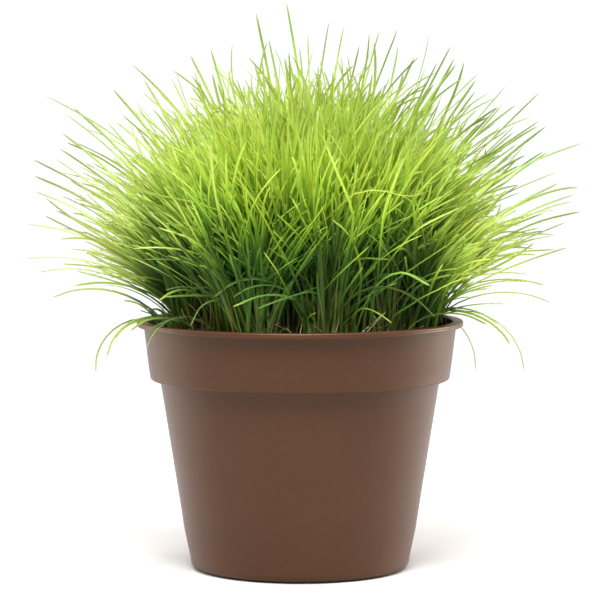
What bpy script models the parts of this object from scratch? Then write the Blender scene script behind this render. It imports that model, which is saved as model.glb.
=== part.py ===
"""Potted zoysia grass: a round plastic pot, the potting mix in it and the tufts that grow from it.

Metres, +Z up. The origin is the middle of the pot's foot, on the surface that the pot stands on.
The front of the plant faces -Y. Its leaves stand steep there and reach furthest to both sides.
"""
import itertools
import math
import random
from typing import NamedTuple

import bmesh
import bpy
import numpy as np
from mathutils import Vector
from mathutils.bvhtree import BVHTree

MM = 0.001

# Pot, a moulded shell with a small lip and a deep collar
POT_HEIGHT = 0.1294
LIP_RADIUS = 0.0850
LIP_DEPTH = 0.0028
LIP_ROUND = 0.0011
COLLAR_TOP_RADIUS = 0.0813
COLLAR_FOOT_RADIUS = 0.0780
COLLAR_FOOT = 0.0989
COLLAR_ROUND = 0.0012
BODY_TOP_RADIUS = 0.0729
BODY_FOOT_RADIUS = 0.0573
FOOT_ROUND = 0.0045
FOOT_RING_WIDTH = 0.0050
GROOVE_DEPTH = 0.0030
GROOVE_INNER_RADIUS = 0.0250
WALL = 0.0017
FLOOR = 0.0020
POT_STEPS = 40
HOLE_COUNT = 6
HOLE_RADIUS = 0.0040
HOLE_CIRCLE = 0.0360
HOLE_SIDES = 8
MERGE = 0.00005
POT_COLOUR = (0.13, 0.065, 0.045)
POT_ROUGHNESS = 0.55

# Potting mix, a plug with a gently domed top
GAP = 0.0003
SOIL_EDGE = 0.1220
SOIL_RISE = 0.0040
SOIL_RADIUS = 0.0785
SOIL_RINGS = (0, 0.4, 0.75, 1)
SOIL_STEPS = 20
SOIL_COLOUR = (0.035, 0.022, 0.014)
SOIL_ROUGHNESS = 0.95

# Tufts, each a low crown with its leaves grown out of it
TUFT_COUNT = 30
LEAVES_PER_TUFT = 7
CROWN_REACH = 0.0660
CROWN_FOOT_RADIUS = 0.0085
CROWN_TOP_RADIUS = 0.0070
CROWN_HEIGHT = 0.0055
CROWN_LEAN = 0.0020
SOCKET_RIM = 0.0007
GOLDEN_ANGLE = math.pi * (3 - math.sqrt(5))

# Leaves: their thick form here stands for a lock of fine leaves that lie together
LEAF_WIDTH = 0.0062
LONG_LEAF_WIDTH = 0.0042
LEAF_THICKNESS = 0.40
ROOT_WIDTH = 0.50
SWELL_END = 0.25
TAPER_LATE = 3
BEND_LATE = 1.2
TWIST_SHARE = 0.4
LEAF_SEGMENTS = 4
BEND_PER_SEGMENT = math.radians(34)
EDGE_ANGLE = math.radians(35)
SAMPLES = 26
GRASS_COLOUR = (0.22, 0.42, 0.05)
GRASS_ROUGHNESS = 0.5

# The clump: how far its leaves spread from upright, and how far they reach from the lip's middle
SPREAD_SIDES = math.radians(76)
SPREAD_FRONT = math.radians(52)
SPREAD_BACK = math.radians(68)
SPREAD_EARLY = 0.85
CLUMP_REACH = 0.126
LOW_LEAN = math.radians(62)
LOW_REACH = 0.090
REACH_SHARES = (0.84, 1.06)
AZIMUTH_SCATTER = 0.10
LEAN_SCATTER = 0.07
LEAF_BEND = math.radians(24)
BEND_SHARES = (0.5, 1.5)
NEAR_SOCKETS = 40
ATTEMPTS = 50
SEED = 6


class LongLeaf(NamedTuple):
    """A leaf that stands out of the clump, by where its tip is (mm) and how far it bends over.

    One that sweeps across the front also says how far to the side its root is (mm).
    """
    side: float
    depth: float
    height: float
    bend: float
    root_side: float | None = None


# Leaves that stand out, left to right over the top of the clump
TOP_LEAVES = (
    LongLeaf(-138, -4, 213, 34),
    LongLeaf(-129, 18, 213, 26),
    LongLeaf(-122, -16, 227, 30),
    LongLeaf(-122, 12, 236, 30),
    LongLeaf(-115, -30, 240, 30),
    LongLeaf(-98, 20, 249, 30),
    LongLeaf(-80, -12, 254, 18),
    LongLeaf(-67, 10, 255, 16),
    LongLeaf(-58, 34, 267, 22),
    LongLeaf(-46, -6, 270, 14),
    LongLeaf(-23, 14, 289, 16),
    LongLeaf(-16, -14, 275, 12),
    LongLeaf(-7, 4, 294, 14),
    LongLeaf(4, 26, 278, 10),
    LongLeaf(15, -6, 284, 16),
    LongLeaf(31, 12, 272, 12),
    LongLeaf(42, 40, 280, 14),
    LongLeaf(50, -10, 280, 16),
    LongLeaf(60, 22, 266, 16),
    LongLeaf(70, -24, 263, 18),
    LongLeaf(80, 4, 265, 18),
    LongLeaf(93, 34, 254, 18),
    LongLeaf(104, -8, 241, 26),
    LongLeaf(113, 26, 230, 22),
    LongLeaf(128, 6, 230, 30),
    LongLeaf(132, 40, 216, 34),
)

# Leaves that reach out low on the left and on the right
SIDE_LEAVES = (
    LongLeaf(-139, 12, 204, 40),
    LongLeaf(-137, -14, 197, 34),
    LongLeaf(-142, 4, 179, 46),
    LongLeaf(-142, -10, 162, 50),
    LongLeaf(-138, 18, 153, 52),
    LongLeaf(-122, -22, 160, 44),
    LongLeaf(-129, 2, 141, 62),
    LongLeaf(133, -12, 201, 30),
    LongLeaf(143, 14, 194, 38),
    LongLeaf(145, -4, 186, 46),
    LongLeaf(133, 24, 172, 40),
    LongLeaf(131, -16, 167, 44),
    LongLeaf(128, 8, 147, 56),
    LongLeaf(130, -8, 139, 60),
    LongLeaf(121, 22, 148, 44),
)

# Leaves that arch over the lip and hang outside the pot
HANGING_LEAVES = (
    LongLeaf(-105, -22, 104, 120),
    LongLeaf(-98, -40, 114, 110),
    LongLeaf(-77, -58, 119, 110),
    LongLeaf(116, -14, 104, 115),
    LongLeaf(89, -40, 107, 125),
)

# Leaves that arch low across the front, most of them sideways
FRONT_LEAVES = (
    LongLeaf(-84, -62, 172, 60, -44),
    LongLeaf(-67, -70, 150, 80, -30),
    LongLeaf(-33, -76, 147, 110, 8),
    LongLeaf(-21, -78, 142, 100, 24),
    LongLeaf(15, -74, 187, 55, 34),
    LongLeaf(64, -68, 154, 105, 28),
    LongLeaf(79, -60, 160, 60, 44),
    LongLeaf(2, -78, 166, 70, -26),
)
LONG_LEAVES = HANGING_LEAVES + FRONT_LEAVES + SIDE_LEAVES + TOP_LEAVES


class Socket(NamedTuple):
    """A place on a tuft's crown where one leaf grows: a small face, its keel toward the crown's middle."""
    tuft: int
    face: object
    place: Vector
    left: Vector
    right: Vector
    keel: Vector


class Leaf(NamedTuple):
    """A leaf as it is planned, before it is grown."""
    socket: Socket
    tip: Vector
    bend: float
    width: float


def make_collection(name):
    """A new collection in the scene."""
    collection = bpy.data.collections.new(name)
    bpy.context.scene.collection.children.link(collection)
    return collection


def make_material(name, colour, roughness):
    """A plain material with the part's own colour."""
    material = bpy.data.materials.new(name)
    material.use_nodes = True
    shader = material.node_tree.nodes["Principled BSDF"]
    shader.inputs["Base Color"].default_value = (*colour, 1)
    shader.inputs["Metallic"].default_value = 0
    shader.inputs["Roughness"].default_value = roughness
    return material


def make_object(name, mesh, collection, material=None):
    """An object in its collection, with its material on it."""
    item = bpy.data.objects.new(name, mesh)
    collection.objects.link(item)
    if material:
        mesh.materials.append(material)
    return item


def corner(centre, radius, start, end, steps):
    """Points on a rounded corner of a profile, from one direction to the other (degrees)."""
    points = []
    for step in range(steps + 1):
        angle = math.radians(start + (end - start) * step / steps)
        points.append((centre[0] + radius * math.cos(angle), centre[1] + radius * math.sin(angle)))
    return points


def body_radius(height):
    """Outer radius of the pot's tapering body."""
    return BODY_FOOT_RADIUS + (BODY_TOP_RADIUS - BODY_FOOT_RADIUS) * height / COLLAR_FOOT


def collar_radius(height):
    """Outer radius of the pot's collar."""
    share = (height - COLLAR_FOOT) / (POT_HEIGHT - LIP_DEPTH - COLLAR_FOOT)
    return COLLAR_FOOT_RADIUS + (COLLAR_TOP_RADIUS - COLLAR_FOOT_RADIUS) * share


def pot_inside(clearance=0.0):
    """The pot's inner side from the middle of its floor up to the collar, or a line clear of it."""
    low_floor = FLOOR + clearance
    floor = GROOVE_DEPTH + FLOOR + clearance
    inset = WALL + clearance
    step_low = COLLAR_FOOT - clearance
    step_high = COLLAR_FOOT + WALL - clearance
    return [
        (0, low_floor),
        (GROOVE_INNER_RADIUS - clearance, low_floor),
        (GROOVE_INNER_RADIUS + GROOVE_DEPTH - clearance, floor),
        (body_radius(floor) - inset - FOOT_ROUND / 2, floor),
        (body_radius(floor) - inset, floor + FOOT_ROUND / 2),
        (body_radius(step_low) - inset, step_low + clearance),
        (collar_radius(step_high) - inset, step_high + 2 * clearance),
    ]


def pot_profile():
    """The pot's section, from the middle of its floor over the lip and down its outer side."""
    lip_foot = POT_HEIGHT - LIP_DEPTH
    inner = COLLAR_TOP_RADIUS - WALL
    lip_middle = LIP_RADIUS - LIP_ROUND
    ring_inner = BODY_FOOT_RADIUS - FOOT_ROUND - FOOT_RING_WIDTH
    points = pot_inside()
    points += [(inner, POT_HEIGHT - LIP_ROUND), (inner + LIP_ROUND, POT_HEIGHT)]
    points += corner((lip_middle, POT_HEIGHT - LIP_ROUND), LIP_ROUND, 90, 0, 2)
    points += corner((lip_middle, lip_foot + LIP_ROUND), LIP_ROUND, 0, -90, 1)
    points += [(COLLAR_TOP_RADIUS, lip_foot)]
    collar_middle = (COLLAR_FOOT_RADIUS - COLLAR_ROUND, COLLAR_FOOT + COLLAR_ROUND)
    points += corner(collar_middle, COLLAR_ROUND, 0, -90, 2)
    points += [(BODY_TOP_RADIUS, COLLAR_FOOT)]
    points += corner((BODY_FOOT_RADIUS - FOOT_ROUND, FOOT_ROUND), FOOT_ROUND, 0, -90, 2)
    points += [(ring_inner, 0), (ring_inner - GROOVE_DEPTH, GROOVE_DEPTH)]
    points += [(GROOVE_INNER_RADIUS + GROOVE_DEPTH, GROOVE_DEPTH), (GROOVE_INNER_RADIUS, 0), (0, 0)]
    return points


def soil_height(radius):
    """Height of the potting mix's top at a distance from the pot's axis."""
    return SOIL_EDGE + SOIL_RISE * (1 - (radius / SOIL_RADIUS) ** 2)


def soil_profile():
    """The plug's section, from the middle of its domed top down its side to the middle of its foot."""
    edge = collar_radius(SOIL_EDGE) - WALL - GAP
    points = [(edge * ring, soil_height(SOIL_RADIUS * ring)) for ring in SOIL_RINGS]
    points += reversed(pot_inside(GAP))
    return points


def turn_profile(name, points, steps, collection, material):
    """A round piece, its profile turned about Z."""
    mesh = bpy.data.meshes.new(name)
    edges = [(index, index + 1) for index in range(len(points) - 1)]
    mesh.from_pydata([(radius, 0, height) for radius, height in points], edges, [])
    item = make_object(name, mesh, collection, material)
    screw = item.modifiers.new("turn", "SCREW")
    screw.axis = "Z"
    screw.angle = math.tau
    screw.steps = steps
    screw.render_steps = steps
    screw.use_merge_vertices = True
    screw.merge_threshold = MERGE
    return item


def drill_holes(pot, cutters):
    """Drainage holes through the floor of the groove in the pot's base."""
    for index in range(HOLE_COUNT):
        angle = math.tau * (index + 0.5) / HOLE_COUNT + math.pi / POT_STEPS
        mesh = bpy.data.meshes.new(f"hole_{index + 1}")
        shape = bmesh.new()
        bmesh.ops.create_cone(shape, cap_ends=True, segments=HOLE_SIDES, radius1=HOLE_RADIUS,
                              radius2=HOLE_RADIUS, depth=4 * FLOOR)
        shape.to_mesh(mesh)
        shape.free()
        cutter = make_object(mesh.name, mesh, cutters)
        height = GROOVE_DEPTH + FLOOR / 2
        cutter.location = (HOLE_CIRCLE * math.cos(angle), HOLE_CIRCLE * math.sin(angle), height)
        cutter.hide_render = True
        cutter.display_type = "WIRE"
        cut = pot.modifiers.new(mesh.name, "BOOLEAN")
        cut.operation = "DIFFERENCE"
        cut.solver = "EXACT"
        cut.object = cutter


def smooth(item):
    """Smooth shading, with the edges kept sharp that turn most."""
    item.data.shade_smooth()
    item.data.set_sharp_from_angle(angle=EDGE_ANGLE)


def tuft_place(index):
    """Where a tuft's crown sits: tufts spiral out over the potting mix, evenly spaced."""
    reach = CROWN_REACH * math.sqrt((index + 0.5) / TUFT_COUNT)
    turn = index * GOLDEN_ANGLE
    return Vector((reach * math.cos(turn), reach * math.sin(turn), 0))


def make_crown(index):
    """A tuft's crown as a bmesh, and the sockets on top of it, one for each leaf."""
    place = tuft_place(index)
    outward = place.normalized()
    crown = bmesh.new()
    bmesh.ops.create_cone(crown, cap_ends=True, segments=LEAVES_PER_TUFT, radius1=CROWN_FOOT_RADIUS,
                          radius2=CROWN_TOP_RADIUS, depth=CROWN_HEIGHT)
    lean = outward * CROWN_LEAN * place.length / CROWN_REACH
    for vertex in crown.verts:
        is_top = vertex.co.z > 0
        vertex.co += place
        vertex.co.z = soil_height(vertex.co.xy.length) + GAP
        if is_top:
            vertex.co += lean
            vertex.co.z += CROWN_HEIGHT
    crown.faces.ensure_lookup_table()
    top = max(crown.faces, key=lambda face: face.calc_center_median().z)
    wedges = bmesh.ops.poke(crown, faces=[top])["faces"]
    bmesh.ops.inset_individual(crown, faces=wedges, thickness=SOCKET_RIM, use_even_offset=True)
    return crown, [make_socket(index, face) for face in wedges]


def make_socket(tuft, face):
    """The socket on a face of a crown, with its corners in order."""
    middle = tuft_place(tuft)
    place = face.calc_center_median()
    corners = [vertex.co.copy() for vertex in face.verts]
    keel = min(corners, key=lambda corner: (corner - middle).xy.length)
    outward = (place - keel).normalized()
    left, right = sorted((corner for corner in corners if corner is not keel),
                         key=lambda corner: outward.cross(corner - place).z)
    return Socket(tuft, face, place, left, right, keel)


def leaf_path(root, tip, bend, count):
    """Points along a leaf from root to tip, which bends over by an angle, most of it in its outer part."""
    shares = np.linspace(0, 1, count + 1)
    middles = (shares[1:] + shares[:-1]) / 2
    leans = bend * middles ** BEND_LATE
    across = np.concatenate(([0], np.cumsum(np.sin(leans))))
    along = np.concatenate(([0], np.cumsum(np.cos(leans))))
    run = math.hypot(tip.x - root.x, tip.y - root.y)
    rise = tip.z - root.z
    size = math.hypot(run, rise) / math.hypot(across[-1], along[-1])
    turn = math.atan2(run, rise) - math.atan2(across[-1], along[-1])
    out = size * (across * math.cos(turn) + along * math.sin(turn))
    up = size * (along * math.cos(turn) - across * math.sin(turn))
    heading = np.array([tip.x - root.x, tip.y - root.y, 0]) / max(run, 1e-9)
    return np.array(root) + out[:, None] * heading + up[:, None] * np.array([0, 0, 1])


def leaf_width(share, width):
    """Width of a leaf, from its narrow root to its broadest part and on to its point."""
    swell = ROOT_WIDTH + (1 - ROOT_WIDTH) * np.minimum(1, share / SWELL_END)
    return width * swell * (1 - share ** TAPER_LATE)


def leaf_steps(bend):
    """Segments along a leaf: more where it bends more."""
    return LEAF_SEGMENTS + round(bend / BEND_PER_SEGMENT)


def leaf_sections(leaf, margin=0.0):
    """The three corners of each section up a leaf, from its socket to its tip, grown by a margin."""
    socket = leaf.socket
    steps = leaf_steps(leaf.bend)
    path = [Vector(point) for point in leaf_path(socket.place, leaf.tip, leaf.bend, steps)]
    edge_way = (socket.right - socket.left).normalized()
    heading = leaf.tip - socket.place
    side_way = Vector((-heading.y, heading.x, 0)).normalized()
    if side_way.dot(edge_way) < 0:
        side_way = -side_way
    sections = [(socket.left, socket.right, socket.keel)]
    for step in range(1, steps):
        share = step / steps
        along = (path[step + 1] - path[step - 1]).normalized()
        side = edge_way.lerp(side_way, min(1, share / TWIST_SHARE))
        side = (side - along * side.dot(along)).normalized()
        front = side.cross(along)
        half_width = side * (leaf_width(share, leaf.width) / 2 + margin)
        thickness = front * (leaf_width(share, leaf.width) * LEAF_THICKNESS + 2 * margin)
        face_middle = path[step] + thickness / 3
        sections.append((face_middle - half_width, face_middle + half_width, path[step] - thickness * 2 / 3))
    return sections, path[-1]


def leaf_tree(leaf, margin):
    """A leaf's walls, each folded both ways across its corners, to test them against other leaves."""
    sections, tip = leaf_sections(leaf, margin)
    points = [corner for section in sections + [(tip,) * 3] for corner in section]
    faces = []
    for low in range(0, 3 * len(sections), 3):
        for corner in range(3):
            wall = (low + corner, low + (corner + 1) % 3, low + 3 + (corner + 1) % 3, low + 3 + corner)
            faces += itertools.combinations(wall, 3)
    return BVHTree.FromPolygons(points, faces)


def clump_spread(azimuth):
    """How far from upright the outermost leaves point, by the side of the plant."""
    across = math.cos(azimuth) ** 2
    facing = SPREAD_BACK if math.sin(azimuth) > 0 else SPREAD_FRONT
    return SPREAD_SIDES * across + facing * (1 - across)


def clump_reach(lean):
    """Distance from the lip's middle to the leaf tips that point in a direction."""
    low = max(0, lean - LOW_LEAN) / (math.pi / 2 - LOW_LEAN)
    return CLUMP_REACH + (LOW_REACH - CLUMP_REACH) * min(1, low)


def clump_tip(root, dice, effort):
    """A tip for a leaf in the clump's fan, further off and shorter with more effort to place it."""
    looseness = 1 + 2 * effort
    azimuth = math.atan2(root.y, root.x) + dice.gauss(0, AZIMUTH_SCATTER) * looseness
    share = min(1, root.xy.length / (CROWN_REACH + CROWN_TOP_RADIUS))
    lean = clump_spread(azimuth) * share ** SPREAD_EARLY + dice.gauss(0, LEAN_SCATTER) * looseness
    reach = clump_reach(lean) * dice.uniform(*REACH_SHARES) * (1 - effort / 2)
    out = reach * math.sin(lean)
    return Vector((out * math.cos(azimuth), out * math.sin(azimuth), POT_HEIGHT + reach * math.cos(lean)))


def clears_pot(leaf):
    """True where a leaf stays inside the lip and over the soil, above the lip, or outside it."""
    shares = np.linspace(0, 1, SAMPLES + 1)
    path = leaf_path(leaf.socket.place, leaf.tip, leaf.bend, SAMPLES)
    radii = leaf_width(shares, leaf.width) / 2 + GAP
    from_axis = np.hypot(path[:, 0], path[:, 1])
    inside = from_axis + radii < COLLAR_TOP_RADIUS - WALL
    inside &= path[:, 2] - radii > soil_height(from_axis)
    above = path[:, 2] - radii > POT_HEIGHT
    outside = from_axis - radii > LIP_RADIUS
    return bool(np.all(inside | above | outside))


class Growth:
    """The leaves planned so far, and the surfaces that the next ones keep clear of."""

    def __init__(self):
        self.leaves = []
        self.trees = []

    def offer(self, leaf):
        """Plans a leaf if it keeps clear of the pot and of every leaf before it."""
        if not clears_pot(leaf):
            return False
        widened = leaf_tree(leaf, GAP)
        if any(tree.overlap(widened) for tree in self.trees):
            return False
        self.leaves.append(leaf)
        self.trees.append(leaf_tree(leaf, 0))
        return True


def wanted_root(leaf, tip):
    """Where a long leaf would grow from, by the direction of its tip from the lip's middle."""
    if leaf.root_side is not None:
        side = leaf.root_side * MM
        return Vector((side, -math.sqrt(CROWN_REACH ** 2 - side ** 2)))
    azimuth = math.atan2(tip.y, tip.x)
    lean = math.atan2(tip.xy.length, tip.z - POT_HEIGHT)
    reach = min(1, lean / clump_spread(azimuth)) * CROWN_REACH
    return Vector((reach * math.cos(azimuth), reach * math.sin(azimuth)))


def plan_leaves(sockets):
    """Plans a leaf for each socket: the long ones first, then the rest of the clump."""
    dice = random.Random(SEED)
    growth = Growth()
    free = list(sockets)
    for leaf in LONG_LEAVES:
        tip = Vector((leaf.side, leaf.depth, leaf.height)) * MM
        root = wanted_root(leaf, tip)
        free.sort(key=lambda socket: (socket.place.xy - root).length)
        for socket in free[:NEAR_SOCKETS]:
            if growth.offer(Leaf(socket, tip, math.radians(leaf.bend), LONG_LEAF_WIDTH)):
                free.remove(socket)
                break
    free.sort(key=lambda socket: -socket.place.xy.length)
    for socket in free:
        for attempt in range(ATTEMPTS):
            effort = attempt / ATTEMPTS
            tip = clump_tip(socket.place, dice, effort)
            bend = LEAF_BEND * dice.uniform(*BEND_SHARES)
            width = LEAF_WIDTH * (1 - effort / 2)
            if growth.offer(Leaf(socket, tip, bend, width)):
                break
    return growth.leaves


def nearest(vertices, place):
    """The vertex that stands at a place."""
    return min(vertices, key=lambda vertex: (vertex.co - place).length)


def grow_leaf(crown, leaf):
    """Grows a leaf: its socket's face is drawn out through the leaf's sections to a point."""
    sections, tip = leaf_sections(leaf)
    face = leaf.socket.face
    corners = [nearest(face.verts, place) for place in sections[0]]
    for section in sections[1:]:
        face = bmesh.ops.extrude_discrete_faces(crown, faces=[face])["faces"][0]
        corners = [nearest(face.verts, corner.co) for corner in corners]
        for corner, place in zip(corners, section):
            corner.co = place
    face = bmesh.ops.extrude_discrete_faces(crown, faces=[face])["faces"][0]
    bmesh.ops.pointmerge(crown, verts=list(face.verts), merge_co=tip)


def build():
    """Builds the pot, the potting mix and every tuft."""
    for item in list(bpy.data.objects):
        bpy.data.objects.remove(item, do_unlink=True)
    parts = make_collection("potted_zoysia_grass")
    cutters = make_collection("cutters")

    pot_material = make_material("pot", POT_COLOUR, POT_ROUGHNESS)
    pot = turn_profile("pot", pot_profile(), POT_STEPS, parts, pot_material)
    drill_holes(pot, cutters)
    soil_material = make_material("potting_mix", SOIL_COLOUR, SOIL_ROUGHNESS)
    turn_profile("potting_mix", soil_profile(), SOIL_STEPS, parts, soil_material)

    crowns = []
    sockets = []
    for index in range(TUFT_COUNT):
        crown, crown_sockets = make_crown(index)
        crowns.append(crown)
        sockets += crown_sockets
    for leaf in plan_leaves(sockets):
        grow_leaf(crowns[leaf.socket.tuft], leaf)
    for index, crown in enumerate(crowns):
        name = f"grass_tuft_{index + 1:02d}"
        mesh = bpy.data.meshes.new(name)
        crown.to_mesh(mesh)
        crown.free()
        tuft = make_object(name, mesh, parts, make_material(name, GRASS_COLOUR, GRASS_ROUGHNESS))
        smooth(tuft)


build()
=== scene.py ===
"""The looks of the potted zoysia grass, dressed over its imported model.

Metres, +Z up. The origin is the middle of the pot's foot, and the front of the plant faces -Y.
"""
import math

import bmesh
import bpy
import numpy as np
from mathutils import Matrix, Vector, noise

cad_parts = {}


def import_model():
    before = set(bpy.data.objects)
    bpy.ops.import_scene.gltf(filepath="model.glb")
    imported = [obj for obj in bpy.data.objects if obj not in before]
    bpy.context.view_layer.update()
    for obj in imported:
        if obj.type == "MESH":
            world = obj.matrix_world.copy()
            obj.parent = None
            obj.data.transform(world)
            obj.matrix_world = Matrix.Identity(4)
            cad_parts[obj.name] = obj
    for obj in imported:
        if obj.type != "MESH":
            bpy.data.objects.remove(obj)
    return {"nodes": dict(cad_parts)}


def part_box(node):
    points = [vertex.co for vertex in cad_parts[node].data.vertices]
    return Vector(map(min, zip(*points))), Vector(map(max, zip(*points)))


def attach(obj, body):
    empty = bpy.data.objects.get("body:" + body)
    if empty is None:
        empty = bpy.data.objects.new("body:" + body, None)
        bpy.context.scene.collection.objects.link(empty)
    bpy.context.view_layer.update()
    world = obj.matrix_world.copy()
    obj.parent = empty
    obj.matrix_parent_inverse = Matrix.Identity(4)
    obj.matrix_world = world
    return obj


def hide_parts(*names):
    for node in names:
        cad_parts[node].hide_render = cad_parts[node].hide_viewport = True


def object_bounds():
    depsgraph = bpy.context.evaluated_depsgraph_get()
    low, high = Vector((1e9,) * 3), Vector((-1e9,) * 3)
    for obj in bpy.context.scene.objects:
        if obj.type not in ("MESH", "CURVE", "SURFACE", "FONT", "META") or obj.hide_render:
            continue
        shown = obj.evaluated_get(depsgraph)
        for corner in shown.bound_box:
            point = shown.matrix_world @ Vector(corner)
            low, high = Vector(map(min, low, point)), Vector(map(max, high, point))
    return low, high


MM = 0.001
SEED = 11

# Pot, as in the model: a moulded shell with a small lip and a deep collar
POT_HEIGHT = 0.1294
LIP_RADIUS = 0.0850
LIP_DEPTH = 0.0028
LIP_ROUND = 0.0008
LIP_GROOVE = 0.00013
LIP_GROOVE_HALF = 0.000208
COLLAR_TOP_RADIUS = 0.0813
COLLAR_FOOT_RADIUS = 0.0780
COLLAR_FOOT = 0.0989
COLLAR_ROUND = 0.0012
BODY_TOP_RADIUS = 0.0729
BODY_FOOT_RADIUS = 0.0573
FOOT_ROUND = 0.0045
FOOT_RING_WIDTH = 0.0050
GROOVE_DEPTH = 0.0030
GROOVE_INNER_RADIUS = 0.0250
WALL = 0.0017
FLOOR = 0.0020
FILLET = 0.0006
POT_STEPS = 180
SHARP_ANGLE = math.radians(38)
HOLE_COUNT = 6
HOLE_RADIUS = 0.0040
HOLE_CIRCLE = 0.0360
HOLE_SIDES = 28

# Potting mix
GAP = 0.0003
SOIL_EDGE = 0.1220
SOIL_RISE = 0.0040
SOIL_RADIUS = 0.0785
SOIL_RINGS = 46
SOIL_STEPS = 150
SOIL_LUMPS = 0.0016
LUMP_SCALE = 90
SOIL_CRUMBS = 0.0008
CRUMB_SCALE = 420
CALM_EDGE = 0.003

# Bark chips: how far out they lie, and their shape, roughness, tilt and rise in parts of their size
CHIP_COUNT = 420
CHIP_SIZE = (0.0010, 0.0032)
CHIP_SPREAD = 0.96
CHIP_SHAPE = ((0.8, 1.6), (0.5, 0.9), (0.25, 0.55))
CHIP_ROUGH = 0.28
CHIP_TILT = 0.35
CHIP_CLEAR = 1.7
CHIP_RISE = 0.25

# Leaves of the model's tufts
WELD = 1e-6
CROWN_STEP = 0.0030
LEAST_SECTIONS = 4

# Form of a blade: its sections, width, fold and taper, and how it rolls and twists
BLADE_STEPS = 15
BLADE_WIDTH = (0.0011, 0.0020)
LEADER_WIDTH = 0.0019
LONE_WIDTH = 0.0013
CREASE = 0.46
ROOT_SHARE = 0.75
FOOT_TAPER = 0.25
NARROWING = 0.33
TIP_LATE = 42
TIP_BLUNT = 0.8
TIP_DENSE = 1.8
SIDE_JITTER = 0.004
ROLL = 1.1
FRONT_ROLL = 0.3
TWIST = 0.8

# Blades that grow beside a leaf of the model, and how far the clump reaches
FOLLOWERS = 24
LOW_FOLLOWERS = 1
LOW_LEAN = math.radians(71)
LOW_TURN = math.radians(42)
REACH = 0.1282
REACH_SPREAD = 0.016
WIDE_LEAN = math.radians(38)
FLAT_REACH = 0.068
DEPTH = 0.096
SLANT = 0.030
DIP = 0.07
DIP_BEARING = math.radians(-30)
DIP_WIDTH = math.radians(13)
SHORT_SHARE = 0.03
SHORT_REACH = (0.055, 0.095)
LONG_SHARE = 0.08
LONG_REACH = (0.129, 0.154)
STEEP = (0.32, 0.80)
MOST_STRETCH = 1.45
ROOT_SPREAD = 0.0075
FOOT_DEPTH = 0.0005
TIP_SPREAD = 0.12
TIP_SAG = 0.6
TIP_BEND = 1.4
SWAY = 0.060
DROOP = 0.09
WILD_SHARE = 0.30
WILD_SPREAD = 0.21

# Thin blades that cross the others
STRAYS = 4
STRAY_TURN = (50, 115)
STRAY_LEAN = (15, 56)
STRAY_LENGTH = (0.040, 0.140)
STRAY_SHARE = (0.75, 0.98)
STRAY_RISE = (0.05, 0.50)
STRAY_WIDTH = (0.0008, 0.0015)
STRAY_SHADE = (0.35, 1)

# Room around the pot and inside the model's box, and how the blades are joined and laid out on their map
RIM_CLEAR = 0.0012
SOIL_CLEAR = 0.002
CLEAR_STEPS = 5
BOX_MARGIN = 0.004
TRIES = 10
CLUMPS = 10
BAKE_CELL = 16
BAKE_MARGIN = 0.14
BAKE_END = 0.03

# Colour of a blade: how much its length and the painted light count, and how far its shade moves it.
# A shade over FRESH is a pale blade's.
FRESH = 0.8
LENGTH_PART = 0.41
LIGHT_PART = 0.59
SHADE_PART = 0.10
PALE_PART = 0.14

# Painted light on a blade by place, in metres: lighter with height and at the sides, painted shade low down
HIGH = (0.148, 0.243)
SIDES = (0.055, 0.098)
SIDE_LIGHT = 0.87
LOW = (0.115, 0.150)
LOW_LIGHT = 0.55

# Colour of the tips at the outline: where they turn dull, with more painted shade on the right, and where
# painted shade makes them dark or painted light keeps them lighter
DULL_HEIGHT = (0.205, 0.275)
DULL_REACH = (0.115, 0.150)
PAINTED_SHADE_RIGHT = (0, 0.12)
DULL_TIP = (0.50, 0.92)
DARK_LEFT = (-0.085, -0.030)
DARK_RIGHT = (0.070, 0.100)
DARK_HEIGHT = (0.190, 0.215)

# Painted shade and painted haze: brightness and depth of colour fall off to the left and right of the
# middle
VALUE_LEFT = (-0.11, -0.03)
VALUE_RIGHT = (0.03, 0.11)
DEPTH_LEFT = (-0.12, -0.03)
DEPTH_RIGHT = (0.03, 0.12)

# How hue and brightness differ from blade to blade, and how much light comes through one
HUES = (0.492, 0.512)
VALUES = (0.82, 1.12)
GLOW_SHARE = 0.42

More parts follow.
